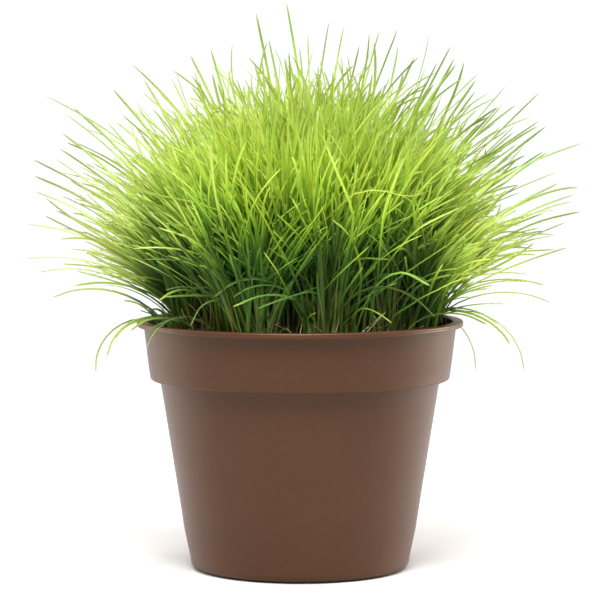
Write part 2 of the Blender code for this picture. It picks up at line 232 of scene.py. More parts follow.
# Blades that sweep across the front: width (mm), shade, and points from foot to tip (mm)
FRONT_BLADES = (
    (1.9, 0.95, (
        (27, -61, 123), (27, -62, 131), (30, -66, 150), (30, -71, 162), (23, -76, 179), (15, -80, 186))),
    (1.6, 0.60, (
        (11, -59, 124), (11, -60, 131), (14, -64, 147), (18, -69, 159), (27, -73, 165), (44, -82, 166))),
    (1.3, 0.95, (
        (17, -61, 123), (17, -62, 131), (20, -68, 164), (25, -74, 174), (32, -80, 180))),
    (1.9, 0.80, (
        (3, -65, 123), (3, -66, 134), (0, -70, 143), (-7, -74, 147), (-17, -78, 148), (-33, -86, 143))),
    (1.6, 0.55, (
        (11, -61, 123), (11, -62, 135), (8, -67, 148), (-5, -76, 147), (-12, -81, 145), (-21, -86, 142))),
    (1.9, 0.86, (
        (-26, -65, 123), (-28, -69, 139), (-33, -72, 149),
        (-42, -75, 160), (-50, -78, 173), (-70, -84, 182))),
    (1.5, 0.92, (
        (-35, -63, 123), (-39, -67, 146), (-45, -70, 156),
        (-57, -74, 169), (-64, -77, 180), (-75, -80, 190))),
    (1.9, 0.88, (
        (-32, -57, 123), (-36, -61, 152), (-40, -64, 161),
        (-47, -67, 166), (-67, -73, 171), (-82, -76, 171))),
    (1.3, 0.98, (
        (2, -67, 123), (2, -68, 130), (-5, -72, 146), (-11, -76, 159), (-18, -84, 170))),
    (1.5, 0.70, (
        (2, -65, 123), (2, -66, 132), (0, -69, 150), (-5, -73, 162), (-15, -76, 180))),
    (1.8, 0.85, (
        (27, -65, 123), (31, -68, 138), (36, -71, 149), (42, -73, 156), (49, -75, 159), (64, -80, 153))),
    (1.5, 0.95, (
        (25, -67, 123), (26, -68, 132), (27, -72, 138), (30, -76, 141), (39, -84, 139), (45, -88, 135))),
    (2.4, 0.25, (
        (-28, -61, 123), (-28, -62, 132), (-31, -65, 142),
        (-35, -68, 145), (-47, -72, 147), (-67, -78, 147))),
    (1.4, 0.75, (
        (-46, -59, 122), (-47, -60, 133), (-51, -64, 146),
        (-56, -69, 150), (-64, -74, 149), (-70, -78, 145))),
    (1.5, 0.75, (
        (-36, -65, 122), (-37, -66, 134), (-39, -70, 142),
        (-42, -74, 145), (-48, -78, 143), (-54, -82, 133))),
    (1.2, 0.95, (
        (4, -69, 123), (4, -70, 132), (4, -71, 136), (6, -73, 138), (8, -74, 139))),
    (1.5, 0.80, (
        (15, -63, 123), (15, -64, 130), (17, -68, 137), (22, -71, 148), (31, -78, 162))),
    (1.6, 0.85, (
        (-50, -54, 122), (-52, -53, 127), (-58, -51, 132),
        (-69, -45, 134), (-79, -40, 132), (-86, -37, 127))),
    (1.5, 0.70, (
        (52, -52, 122), (54, -52, 128), (60, -50, 133), (71, -44, 136), (84, -38, 135), (95, -34, 130))),
    (1.9, 0.88, (
        (8, -60, 123), (6, -62, 134), (0, -68, 149), (-10, -74, 170), (-19, -78, 188), (-32, -82, 208))),
    (2.0, 0.84, (
        (-24, -62, 123), (-27, -64, 140), (-32, -67, 162),
        (-39, -72, 184), (-43, -74, 206), (-44, -75, 224))),
    (1.8, 0.84, (
        (-24, -63, 123), (-26, -65, 134), (-34, -71, 152),
        (-45, -77, 166), (-54, -80, 181), (-62, -83, 196))),
    (1.8, 0.86, (
        (34, -62, 123), (36, -65, 140), (39, -69, 160), (41, -73, 184), (47, -76, 205), (56, -79, 226))),
    (2.2, 0.40, (
        (11, -64, 123), (11, -67, 136), (11, -70, 150), (9, -73, 170), (7, -75, 192), (7, -76, 210))),
    (1.3, 0.88, (
        (-19, -54, 123), (-21, -58, 148), (-24, -63, 170), (-30, -69, 183),
        (-46, -73, 192), (-69, -71, 197), (-90, -65, 203))),
    (1.7, 0.62, (
        (-26, -63, 123), (-28, -66, 145), (-30, -71, 158), (-30, -74, 166),
        (-27, -79, 178), (-23, -83, 192), (-17, -85, 202), (-9, -86, 211))),
    (1.8, 0.84, (
        (33, -60, 123), (34, -62, 143), (38, -66, 153), (43, -69, 162),
        (49, -71, 170), (57, -72, 179), (69, -71, 186), (80, -68, 191))),
    (1.3, 0.88, (
        (11, -60, 123), (11, -63, 145), (12, -70, 166), (17, -77, 187),
        (23, -81, 196), (35, -83, 200), (55, -81, 197), (65, -79, 200))),
    (1.8, 0.86, (
        (37, -60, 123), (37, -63, 145), (39, -69, 159), (40, -76, 176),
        (42, -80, 191), (46, -83, 203), (51, -82, 216))),
    (1.4, 0.88, (
        (45, -54, 123), (47, -57, 136), (53, -60, 140), (60, -62, 145),
        (70, -62, 150), (76, -61, 153), (85, -60, 156))),
    (1.7, 0.86, (
        (20, -61, 123), (20, -64, 145), (21, -70, 160), (25, -76, 175),
        (26, -81, 189), (22, -84, 200), (17, -84, 212), (11, -81, 227))),
)

# Dry leaves and stubs between the tufts
THATCH_COUNT = 700
THATCH_LENGTH = (0.006, 0.025)
THATCH_WIDTH = (0.0005, 0.0011)
THATCH_STEPS = 6
THATCH_EDGE = 0.006
THATCH_LIFT = 0.0004
THATCH_UP_SHARE = 0.6
THATCH_UP = 0.75
THATCH_FLAT = 0.12
THATCH_BEND = 0.30
THATCH_ROLL = 1.5

# Studio: its floor, and how bright its surround is in front, behind, above and where it is seen
FLOOR_HALF = 0.95
FLOOR_GREY = 0.48
FRONT_GLOW = 0.07
BACK_GLOW = 0.88
TOP_GLOW = 0.90
SEEN_GLOW = 1.05
FRONT_TO_BACK = (-0.7, 0.2)
SIDE_TO_TOP = (0.2, 0.7)

# Lights: name, place, the point that it faces, size, power and colour
WHITE = (1, 1, 1)
WARM = (1, 0.86, 0.74)
LIGHTS = (
    ("top", (0, 0, 2.0), (0, 0, 0), 3.0, 66, WHITE),
    ("key", (-0.04, -0.80, 1.50), (0, 0, 0.12), 0.6, 42, WHITE),
    ("left", (-1.2, 0.50, 0.40), (0, 0, 0.10), 0.8, 12, WARM),
    ("right", (1.2, 0.50, 0.40), (0, 0, 0.10), 0.8, 21, WARM),
)

# Camera, at the photograph's distance and pitch
CAMERA_PLACE = (0, -1.506, 0.2537)
CAMERA_PITCH = 4.326
CAMERA_LENS = 174
CAMERA_SENSOR = 36


def new_mesh(name, points, faces, material, smooth=True):
    """An object with its own mesh and material."""
    mesh = bpy.data.meshes.new(name)
    mesh.from_pydata(np.asarray(points).tolist(), [], [tuple(face) for face in faces])
    mesh.materials.append(material)
    if smooth:
        mesh.shade_smooth()
    item = bpy.data.objects.new(name, mesh)
    bpy.context.scene.collection.objects.link(item)
    return item


def add_node(tree, kind, inputs=None, **settings):
    """A shader node with its settings, and with its inputs set or linked."""
    node = tree.nodes.new(kind)
    for name, value in settings.items():
        setattr(node, name, value)
    for name, value in (inputs or {}).items():
        if isinstance(value, bpy.types.NodeSocket):
            tree.links.new(value, node.inputs[name])
        else:
            node.inputs[name].default_value = value
    return node


def new_material(name):
    """An empty material's node tree and the material."""
    material = bpy.data.materials.new(name)
    material.use_nodes = True
    material.node_tree.nodes.clear()
    return material, material.node_tree


def ramp(tree, factor, stops):
    """A colour ramp's colour."""
    node = add_node(tree, "ShaderNodeValToRGB", {"Fac": factor})
    elements = node.color_ramp.elements
    while len(elements) < len(stops):
        elements.new(1)
    for element, (place, colour) in zip(elements, stops):
        element.position = place
        element.color = (*colour, 1)
    return node.outputs["Color"]


def spread(tree, value, low, high, start, end):
    """A value mapped from one range to another, kept inside it."""
    return add_node(tree, "ShaderNodeMapRange", {
        "Value": value, "From Min": low, "From Max": high, "To Min": start, "To Max": end,
    }).outputs["Result"]


def sums(tree, operation, first, second):
    """The result of a sum of two values."""
    return add_node(tree, "ShaderNodeMath", {0: first, 1: second}, operation=operation).outputs[0]


def blend_colours(tree, factor, first, second, blend_type="MIX"):
    """Two colours mixed."""
    node = add_node(tree, "ShaderNodeMix", data_type="RGBA", blend_type=blend_type)
    for socket, value in (("Factor_Float", factor), ("A_Color", first), ("B_Color", second)):
        place = next(item for item in node.inputs if item.identifier == socket)
        if isinstance(value, bpy.types.NodeSocket):
            tree.links.new(value, place)
        else:
            place.default_value = value if socket == "Factor_Float" else (*value, 1)
    return next(item for item in node.outputs if item.identifier == "Result_Color")


def uv_parts(tree, name):
    """The two values of a UV map."""
    uv = add_node(tree, "ShaderNodeUVMap", uv_map=name).outputs["UV"]
    parts = add_node(tree, "ShaderNodeSeparateXYZ", {"Vector": uv})
    return parts.outputs["X"], parts.outputs["Y"]


def noise_at(tree, place, **settings):
    """Smooth noise over a place."""
    return add_node(tree, "ShaderNodeTexNoise", {"Vector": place, **settings}).outputs["Fac"]


def bumped(tree, height, strength, distance):
    """A surface's direction with fine relief on it."""
    return add_node(tree, "ShaderNodeBump", {
        "Height": height, "Strength": strength, "Distance": distance}).outputs["Normal"]


def principled(tree, height, strength, distance, inputs):
    """An opaque surface with fine relief."""
    normal = bumped(tree, height, strength, distance)
    return add_node(tree, "ShaderNodeBsdfPrincipled", {**inputs, "Normal": normal}).outputs["BSDF"]


def finish_material(tree, shader):
    """Ends a material in a shader."""
    add_node(tree, "ShaderNodeOutputMaterial", {"Surface": shader})


def plastic_material():
    """Brown moulded plastic with a fine satin grain."""
    material, tree = new_material("brown_plastic")
    place = add_node(tree, "ShaderNodeTexCoord").outputs["Object"]
    clouds = noise_at(tree, place, Scale=22, Detail=4, Roughness=0.6)
    grain = noise_at(tree, place, Scale=1300, Detail=3, Roughness=0.65)
    speck = noise_at(tree, place, Scale=420, Detail=2)
    colour = ramp(tree, clouds, (
        (0.30, (0.0495, 0.0148, 0.0034)),
        (0.55, (0.0545, 0.0168, 0.0042)),
        (0.80, (0.0600, 0.0192, 0.0057)),
    ))
    specks = spread(tree, speck, 0.35, 0.65, 0, 0.22)
    colour = blend_colours(tree, specks, colour, (0.067, 0.0235, 0.0085))
    finish_material(tree, principled(tree, grain, 0.22, 0.0002, {
        "Base Color": colour,
        "Roughness": spread(tree, grain, 0.3, 0.7, 0.34, 0.46),
        "Specular IOR Level": 0.42,
        "Specular Tint": (1.0, 0.85, 0.71, 1),
    }))
    return material


def soil_material():
    """Dark peat with brown fibres and crumbs."""
    material, tree = new_material("peat")
    place = add_node(tree, "ShaderNodeTexCoord").outputs["Object"]
    crumbs = add_node(tree, "ShaderNodeTexVoronoi", {"Vector": place, "Scale": 520})
    clouds = noise_at(tree, place, Scale=160, Detail=6, Roughness=0.7)
    colour = ramp(tree, clouds, (
        (0.30, (0.012, 0.008, 0.005)),
        (0.50, (0.030, 0.019, 0.012)),
        (0.68, (0.068, 0.043, 0.026)),
        (0.85, (0.130, 0.088, 0.052)),
    ))
    height = sums(tree, "ADD", crumbs.outputs["Distance"], clouds)
    finish_material(tree, principled(tree, height, 0.8, 0.0012, {"Base Color": colour, "Roughness": 0.95}))
    return material


def bark_material():
    """Brown bark chips with a streaky grain."""
    material, tree = new_material("bark")
    place = add_node(tree, "ShaderNodeTexCoord").outputs["Object"]
    streaks = noise_at(tree, place, Scale=420, Detail=5, Distortion=2.5)
    patches = noise_at(tree, place, Scale=95, Detail=1)
    colour = ramp(tree, streaks, (
        (0.32, (0.022, 0.013, 0.008)),
        (0.52, (0.070, 0.040, 0.022)),
        (0.72, (0.170, 0.105, 0.060)),
    ))
    dark = spread(tree, patches, 0.35, 0.65, 0, 0.7)
    colour = blend_colours(tree, dark, colour, (0.040, 0.026, 0.017))
    finish_material(tree, principled(tree, streaks, 0.7, 0.0006, {"Base Color": colour, "Roughness": 0.88}))
    return material


def blade_veins(tree, across, along, luck):
    """Fine streaks that run along a blade."""
    place = add_node(tree, "ShaderNodeCombineXYZ", {
        "X": sums(tree, "MULTIPLY", across, 9), "Y": sums(tree, "MULTIPLY", along, 5),
        "Z": sums(tree, "MULTIPLY", luck, 60)})
    return noise_at(tree, place.outputs["Vector"], Scale=1.4, Detail=3)


def blade_colour(tree, along, shade, x, z):
    """Greens from foot to tip, with painted light that makes them lighter high up and at the sides of the
    clump, and painted shade low down.
    """
    # painted light by height and at the sides, painted shade low down; the part along the length is the
    # blade's own colour
    aside = sums(tree, "ABSOLUTE", x, 0)
    side = sums(tree, "MULTIPLY", spread(tree, aside, *SIDES, 0, SIDE_LIGHT),
                spread(tree, z, *LOW, LOW_LIGHT, 1))
    light = sums(tree, "MAXIMUM", spread(tree, z, *HIGH, 0, 1), side)
    length_and_painted_light = sums(tree, "ADD", sums(tree, "MULTIPLY", along, LENGTH_PART),
                  sums(tree, "MULTIPLY", light, LIGHT_PART))
    length_and_painted_light = sums(tree, "ADD", length_and_painted_light, spread(tree, shade, 0, FRESH, -SHADE_PART, SHADE_PART))
    length_and_painted_light = sums(tree, "ADD", length_and_painted_light, spread(tree, shade, FRESH, 1, 0, PALE_PART))
    return ramp(tree, length_and_painted_light, (
        (0.00, (0.140, 0.150, 0.032)),
        (0.07, (0.085, 0.155, 0.022)),
        (0.28, (0.056, 0.140, 0.016)),
        (0.42, (0.088, 0.195, 0.016)),
        (0.56, (0.270, 0.450, 0.028)),
        (0.70, (0.520, 0.690, 0.072)),
        (0.85, (0.600, 0.750, 0.120)),
        (1.00, (0.590, 0.710, 0.160)),
    ))


def dull_tips_with_painted_shade(tree, colour, along, place, x, z):
    """A duller green on the tips at the outline, with painted shade that deepens it on the right, and
    painted light that keeps it lighter at the left and low down at the right.
    """
    away = add_node(tree, "ShaderNodeVectorMath", {0: place, 1: (0, 0, POT_HEIGHT)}, operation="DISTANCE")
    outer = sums(tree, "MAXIMUM", spread(tree, z, *DULL_HEIGHT, 0, 1),
                 spread(tree, away.outputs["Value"], *DULL_REACH, 0, 1))
    # painted shade: the tips turn duller towards the right
    outer = sums(tree, "MINIMUM", sums(tree, "ADD", outer, spread(tree, x, *PAINTED_SHADE_RIGHT, 0, 0.5)), 1)
    dull_and_painted_shade = sums(tree, "MULTIPLY", outer, spread(tree, along, *DULL_TIP, 0, 0.93))
    # painted shade darkens the tips; painted light keeps them lighter at the left and low down at the right
    right = sums(tree, "MAXIMUM", spread(tree, z, *DARK_HEIGHT, 0, 1), spread(tree, x, *DARK_RIGHT, 1, 0))
    dark = sums(tree, "MULTIPLY", spread(tree, x, *DARK_LEFT, 0, 1), right)
    tips = blend_colours(tree, dark, (0.290, 0.430, 0.105), (0.170, 0.275, 0.058))
    return blend_colours(tree, dull_and_painted_shade, colour, tips)


def varied(tree, colour, veins, luck, x):
    """Each blade's own hue and brightness. Both brightness and depth of colour fall off to the sides, as
    painted shade and painted haze.
    """
    streak = spread(tree, veins, 0.3, 0.7, 0.90, 1.08)
    value = sums(tree, "MULTIPLY", streak, spread(tree, luck, 0, 1, *VALUES))
    # painted shade towards the left and the right
    value = sums(tree, "MULTIPLY", value, spread(tree, x, *VALUE_LEFT, 0.78, 1))
    value = sums(tree, "MULTIPLY", value, spread(tree, x, *VALUE_RIGHT, 1, 0.84))
    # painted haze: paler colour towards the sides
    depth = sums(tree, "MULTIPLY", spread(tree, x, *DEPTH_LEFT, 0.75, 1),
                 spread(tree, x, *DEPTH_RIGHT, 1, 0.88))
    return add_node(tree, "ShaderNodeHueSaturation", {
        "Color": colour,
        "Hue": spread(tree, luck, 0, 1, *HUES),
        "Saturation": depth,
        "Value": value,
    }).outputs["Color"]


def grass_material():
    """Fresh blades: dark at the foot, bright yellow-green above, partly by painted light and shade, with a
    pale midrib and a dry point.
    """
    material, tree = new_material("grass_blade")
    across, along = uv_parts(tree, "blade")
    luck, shade = uv_parts(tree, "tint")
    place = add_node(tree, "ShaderNodeTexCoord").outputs["Object"]
    parts = add_node(tree, "ShaderNodeSeparateXYZ", {"Vector": place})
    x, z = parts.outputs["X"], parts.outputs["Z"]
    veins = blade_veins(tree, across, along, luck)
    colour = blade_colour(tree, along, shade, x, z)
    colour = dull_tips_with_painted_shade(tree, colour, along, place, x, z)
    colour = varied(tree, colour, veins, luck, x)
    from_middle = sums(tree, "ABSOLUTE", sums(tree, "SUBTRACT", across, 0.5), 0)
    midrib = spread(tree, from_middle, 0.02, 0.10, 0.25, 0)
    colour = blend_colours(tree, midrib, colour, (0.45, 0.66, 0.16))
    dry = sums(tree, "MULTIPLY", spread(tree, along, 0.94, 1.0, 0, 0.7),
               spread(tree, shade, 0.60, 0.8, 0, 1))
    colour = blend_colours(tree, dry, colour, (0.42, 0.38, 0.14))
    normal = bumped(tree, veins, 0.25, 0.0002)
    surface = add_node(tree, "ShaderNodeBsdfPrincipled", {
        "Base Color": colour, "Roughness": 0.50, "Specular IOR Level": 0.3, "Normal": normal})
    glow = blend_colours(tree, 1.0, colour, (1.0, 1.0, 0.55), "MULTIPLY")
    through = add_node(tree, "ShaderNodeBsdfTranslucent", {"Color": glow, "Normal": normal})
    mix = add_node(tree, "ShaderNodeMixShader", {
        "Fac": GLOW_SHARE, 1: surface.outputs["BSDF"], 2: through.outputs["BSDF"]})
    finish_material(tree, mix.outputs["Shader"])
    return material


def straw_material():
    """Dead leaves, pale straw to brown."""
    material, tree = new_material("straw")
    across, along = uv_parts(tree, "blade")
    luck, shade = uv_parts(tree, "tint")
    veins = blade_veins(tree, across, along, luck)
    colour = ramp(tree, luck, (
        (0.0, (0.075, 0.046, 0.022)),
        (0.5, (0.210, 0.140, 0.065)),
        (0.9, (0.420, 0.320, 0.170)),
        (1.0, (0.620, 0.550, 0.380)),
    ))
    streak = spread(tree, veins, 0.3, 0.7, 0.75, 1.2)
    value = sums(tree, "MULTIPLY", streak, spread(tree, shade, 0, 1, 0.8, 1.15))
    colour = add_node(tree, "ShaderNodeHueSaturation", {"Color": colour, "Value": value}).outputs["Color"]
    finish_material(tree, principled(tree, veins, 0.4, 0.0002, {"Base Color": colour, "Roughness": 0.8}))
    return material


def floor_material():
    """The plain pale floor."""
    material, tree = new_material("floor")
    shader = add_node(tree, "ShaderNodeBsdfPrincipled", {
        "Base Color": (FLOOR_GREY, FLOOR_GREY, FLOOR_GREY, 1), "Roughness": 0.9, "Specular IOR Level": 0.1})
    finish_material(tree, shader.outputs["BSDF"])
    return material


def corner(centre, radius, start, end, steps):
    """Points on a rounded corner of a profile, from one direction to the other (degrees)."""
    x, z = centre
    angles = np.radians(np.linspace(start, end, steps + 1))
    return [(x + radius * math.cos(angle), z + radius * math.sin(angle)) for angle in angles]


def body_radius(height):
    """Outer radius of the pot's tapering body."""
    return BODY_FOOT_RADIUS + (BODY_TOP_RADIUS - BODY_FOOT_RADIUS) * height / COLLAR_FOOT


def collar_radius(height):
    """Outer radius of the pot's collar."""
    share = (height - COLLAR_FOOT) / (POT_HEIGHT - LIP_DEPTH - COLLAR_FOOT)
    return COLLAR_FOOT_RADIUS + (COLLAR_TOP_RADIUS - COLLAR_FOOT_RADIUS) * share


def soil_height(radius):
    """Height of the potting mix's top at a distance from the pot's axis."""
    return SOIL_EDGE + SOIL_RISE * (1 - (radius / SOIL_RADIUS) ** 2)


def straight(start, end, count):
    """Points from start up to end, without the end."""
    return [tuple(np.array(start) + (np.array(end) - start) * step / count) for step in range(count)]


def pot_profile():
    """The pot's section, from the middle of its floor over the lip and down its outer side."""
    floor = GROOVE_DEPTH + FLOOR
    bend = FOOT_ROUND / 2
    inner_foot = body_radius(floor) - WALL
    lip_foot = POT_HEIGHT - LIP_DEPTH
    inner = COLLAR_TOP_RADIUS - WALL
    points = [(0, FLOOR), (GROOVE_INNER_RADIUS - FILLET, FLOOR)]
    points += [(GROOVE_INNER_RADIUS + GROOVE_DEPTH, floor)]
    points += straight((GROOVE_INNER_RADIUS + 2 * GROOVE_DEPTH, floor), (inner_foot - FOOT_ROUND, floor), 3)
    points += corner((inner_foot - bend, floor + bend), bend, -90, -5, 4)
    points += straight((body_radius(floor + FOOT_ROUND) - WALL, floor + FOOT_ROUND),
                       (BODY_TOP_RADIUS - WALL, COLLAR_FOOT), 8)
    points += [(BODY_TOP_RADIUS - WALL, COLLAR_FOOT)]
    points += [(COLLAR_FOOT_RADIUS - WALL, COLLAR_FOOT + WALL)]
    points += straight((collar_radius(COLLAR_FOOT + 2 * WALL) - WALL, COLLAR_FOOT + 2 * WALL),
                       (inner, POT_HEIGHT - LIP_ROUND), 4)
    points += corner((inner + LIP_ROUND, POT_HEIGHT - LIP_ROUND), LIP_ROUND, 180, 90, 5)
    points += corner((LIP_RADIUS - LIP_ROUND, POT_HEIGHT - LIP_ROUND), LIP_ROUND, 90, 0, 6)
    middle = POT_HEIGHT - LIP_DEPTH / 2
    points += [(LIP_RADIUS - LIP_GROOVE / 3, middle + LIP_GROOVE_HALF)]
    points += [(LIP_RADIUS - LIP_GROOVE, middle)]
    points += [(LIP_RADIUS - LIP_GROOVE / 3, middle - LIP_GROOVE_HALF)]
    points += corner((LIP_RADIUS - LIP_ROUND, lip_foot + LIP_ROUND), LIP_ROUND, 0, -90, 6)
    points += [(COLLAR_TOP_RADIUS, lip_foot)]
    points += straight((collar_radius(lip_foot - FILLET), lip_foot - FILLET),
                       (collar_radius(COLLAR_FOOT + 2 * COLLAR_ROUND), COLLAR_FOOT + 2 * COLLAR_ROUND), 5)
    points += corner((COLLAR_FOOT_RADIUS - COLLAR_ROUND, COLLAR_FOOT + COLLAR_ROUND),
                     COLLAR_ROUND, 5, -90, 8)
    points += [(BODY_TOP_RADIUS, COLLAR_FOOT)]
    points += straight((body_radius(COLLAR_FOOT - FILLET), COLLAR_FOOT - FILLET),
                       (body_radius(2 * FOOT_ROUND), 2 * FOOT_ROUND), 8)
    points += corner((BODY_FOOT_RADIUS - FOOT_ROUND, FOOT_ROUND), FOOT_ROUND, 5, -90, 10)
    ring_inner = BODY_FOOT_RADIUS - FOOT_ROUND - FOOT_RING_WIDTH
    points += [(ring_inner, 0), (ring_inner - GROOVE_DEPTH, GROOVE_DEPTH)]
    points += straight((ring_inner - 2 * GROOVE_DEPTH, GROOVE_DEPTH),
                       (GROOVE_INNER_RADIUS + 2 * GROOVE_DEPTH, GROOVE_DEPTH), 3)
    points += [(GROOVE_INNER_RADIUS + GROOVE_DEPTH, GROOVE_DEPTH), (GROOVE_INNER_RADIUS, 0), (0, 0)]
    return points


def turn_profile(profile, steps):
    """Vertices and faces of a profile turned about Z. Its ends lie on the axis."""
    angles = np.linspace(0, math.tau, steps, endpoint=False)
    points = [(0, 0, profile[0][1]), (0, 0, profile[-1][1])]
    for radius, height in profile[1:-1]:
        points += [(radius * math.cos(angle), radius * math.sin(angle), height) for angle in angles]
    faces = []
    rows = len(profile) - 2
    for step in range(steps):
        after = (step + 1) % steps
        faces.append((0, 2 + step, 2 + after))
        for row in range(rows - 1):
            low = 2 + row * steps
            faces.append((low + step, low + steps + step, low + steps + after, low + after))
        last = 2 + (rows - 1) * steps
        faces.append((1, last + after, last + step))
    return np.array(points), faces


def make_pot(material):
    """The pot, with its drainage holes drilled through the groove in its base."""
    points, faces = turn_profile(pot_profile(), POT_STEPS)
    pot = new_mesh("plastic_pot", points, faces, material)
    pot.data.set_sharp_from_angle(angle=SHARP_ANGLE)
    drills = bmesh.new()
    for index in range(HOLE_COUNT):
        angle = math.tau * (index + 0.5) / HOLE_COUNT
        made = bmesh.ops.create_cone(drills, cap_ends=True, segments=HOLE_SIDES, radius1=HOLE_RADIUS,
                                     radius2=HOLE_RADIUS, depth=4 * FLOOR)
        place = (HOLE_CIRCLE * math.cos(angle), HOLE_CIRCLE * math.sin(angle), GROOVE_DEPTH + FLOOR / 2)
        bmesh.ops.translate(drills, verts=made["verts"], vec=Vector(place))
    mesh = bpy.data.meshes.new("drills")
    drills.to_mesh(mesh)
    drills.free()
    cutter = bpy.data.objects.new("drills", mesh)
    bpy.context.scene.collection.objects.link(cutter)
    cut = pot.modifiers.new("holes", "BOOLEAN")
    cut.operation = "DIFFERENCE"
    cut.object = cutter
    drilled = bpy.data.meshes.new_from_object(pot.evaluated_get(bpy.context.evaluated_depsgraph_get()))
    pot.modifiers.clear()
    pot.data = drilled
    drilled.name = "plastic_pot"
    bpy.data.objects.remove(cutter)
    return pot


def make_soil(material):
    """The potting mix: a plug in the pot with a lumpy top."""
    edge = collar_radius(SOIL_EDGE) - WALL - GAP
    floor = GROOVE_DEPTH + FLOOR + GAP
    radii = [edge * ring / SOIL_RINGS for ring in range(SOIL_RINGS + 1)]
    profile = [(radius, soil_height(radius)) for radius in radii]
    profile += [(collar_radius(COLLAR_FOOT + 2 * WALL) - WALL - GAP, COLLAR_FOOT + 2 * WALL)]
    profile += [(BODY_TOP_RADIUS - WALL - GAP, COLLAR_FOOT)]
    profile += [(body_radius(floor + FOOT_ROUND) - WALL - GAP, floor + FOOT_ROUND)]
    profile += [(body_radius(floor) - WALL - FOOT_ROUND, floor), (0, floor)]
    points, faces = turn_profile(profile, SOIL_STEPS)
    for point in points:
        if point[2] > SOIL_EDGE - MM:
            place = Vector(point)
            lumps = noise.fractal(place * LUMP_SCALE, 0.8, 2.0, 4)
            crumbs = noise.noise(place * CRUMB_SCALE)
            calm = min(1, (edge - math.hypot(point[0], point[1])) / CALM_EDGE)
            point[2] += (SOIL_LUMPS * lumps + SOIL_CRUMBS * crumbs) * calm
    return new_mesh("peat_top", points, faces, material)


def make_chips(material, dice):
    """Bark chips and crumbs that lie on the potting mix."""
    ball = bmesh.new()
    bmesh.ops.create_icosphere(ball, subdivisions=1, radius=1)
    shape = np.array([vertex.co for vertex in ball.verts])
    corners = np.array([[vertex.index for vertex in face.verts] for face in ball.faces])
    ball.free()
    points = []
    faces = []
    for chip in range(CHIP_COUNT):
        reach = SOIL_RADIUS * CHIP_SPREAD * math.sqrt(dice.random())
        turn = dice.uniform(0, math.tau)
        size = dice.uniform(*CHIP_SIZE)
        stretch = np.array([dice.uniform(*part) for part in CHIP_SHAPE]) * size
        body = shape * (1 + dice.uniform(-CHIP_ROUGH, CHIP_ROUGH, (len(shape), 1))) * stretch
        spin = dice.uniform(0, math.tau)
        tilt = dice.normal(0, CHIP_TILT)
        body = body @ turned(spin, "Z") @ turned(tilt, "X")
        reach = min(reach, SOIL_RADIUS - CHIP_CLEAR * size - MM)
        place = (reach * math.cos(turn), reach * math.sin(turn), soil_height(reach) + CHIP_RISE * size)
        points.append(body + place)
        faces.append(corners + chip * len(shape))
    points = np.concatenate(points)
    faces = np.concatenate(faces)
    return new_mesh("bark_chips", points, faces, material, smooth=False)


def turned(angle, axis):
    """A rotation about X or Z as a matrix for row vectors."""
    cos, sin = math.cos(angle), math.sin(angle)
    if axis == "Z":
        return np.array([[cos, sin, 0], [-sin, cos, 0], [0, 0, 1]])
    return np.array([[1, 0, 0], [0, cos, sin], [0, -sin, cos]])


def leaf_lines(node):
    """The middle line of each leaf of a tuft's solid, from its foot to its tip.

    A leaf there is a row of sections of three corners that ends in a point. The point is the only
    place of a tuft where three edges meet.
    """
    mesh = node.data
    corners = np.array([vertex.co for vertex in mesh.vertices])
    _, first, index = np.unique(np.round(corners / WELD), axis=0, return_index=True, return_inverse=True)
    index = index.reshape(-1)
    corners = corners[first]
    near = [set() for _ in corners]
    for edge in mesh.edges:
        start, end = (int(index[vertex]) for vertex in edge.vertices)
        if start != end:
            near[start].add(end)
            near[end].add(start)
    lines = []
    for tip in range(len(corners)):
        if len(near[tip]) != 3:
            continue
        line = [corners[tip]]
        seen = {tip}
        section = near[tip]
        while len(section) == 3:
            middle = corners[sorted(section)].mean(axis=0)
            if np.linalg.norm(middle - line[-1]) < CROWN_STEP:
                break
            line.append(middle)
            seen |= section
            section = set().union(*(near[corner] for corner in section)) - seen
        if len(line) >= LEAST_SECTIONS:
            lines.append(np.array(line[::-1]))
    return lines


def line_at(line, shares):
    """Points on a smooth curve through a line's points, at shares of its length."""
    steps = np.linalg.norm(np.diff(line, axis=0), axis=1)
    marks = np.concatenate(([0], np.cumsum(steps))) / steps.sum()
    slopes = np.gradient(line, marks, axis=0)
    shares = np.clip(shares, 0, 1)
    low = np.clip(np.searchsorted(marks, shares, side="right") - 1, 0, len(marks) - 2)
    size = (marks[low + 1] - marks[low])[:, None]
    part = ((shares - marks[low]) / size[:, 0])[:, None]
    square = part * part
    cube = square * part
    return ((2 * cube - 3 * square + 1) * line[low] + (cube - 2 * square + part) * size * slopes[low]
            + (3 * square - 2 * cube) * line[low + 1] + (cube - square) * size * slopes[low + 1])


def clears_pot(path):
    """True where a blade stays over the soil and inside the lip, above it, or outside it."""
    fine = np.linspace(0, len(path) - 1, CLEAR_STEPS * len(path))
    x, y, z = (np.interp(fine, np.arange(len(path)), path[:, axis]) for axis in range(3))
    from_axis = np.hypot(x, y)
    inside = (from_axis < COLLAR_TOP_RADIUS - WALL - RIM_CLEAR) & (z > soil_height(from_axis) - SOIL_CLEAR)
    above = z > POT_HEIGHT + RIM_CLEAR
    outside = (from_axis > LIP_RADIUS + RIM_CLEAR) & (z > MM)
    return bool(np.all(inside | above | outside))


def fits(path, box):
    """True where a blade clears the pot and stays inside the box."""
    return clears_pot(path) and bool(np.all(path > box[0]) and np.all(path < box[1]))


def plant(path):
    """Sets a blade's foot in the soil."""
    shares = blade_shares(len(path) - 1)
    drop = path[0, 2] - soil_height(math.hypot(path[0, 0], path[0, 1])) + FOOT_DEPTH
    path[:, 2] -= drop * (1 - shares) ** 4
    return path


def blade_shares(steps):
    """Shares of a blade's length at its sections, closer together towards its blunt tip."""
    return 1 - (1 - np.linspace(0, 1, steps + 1)) ** TIP_DENSE


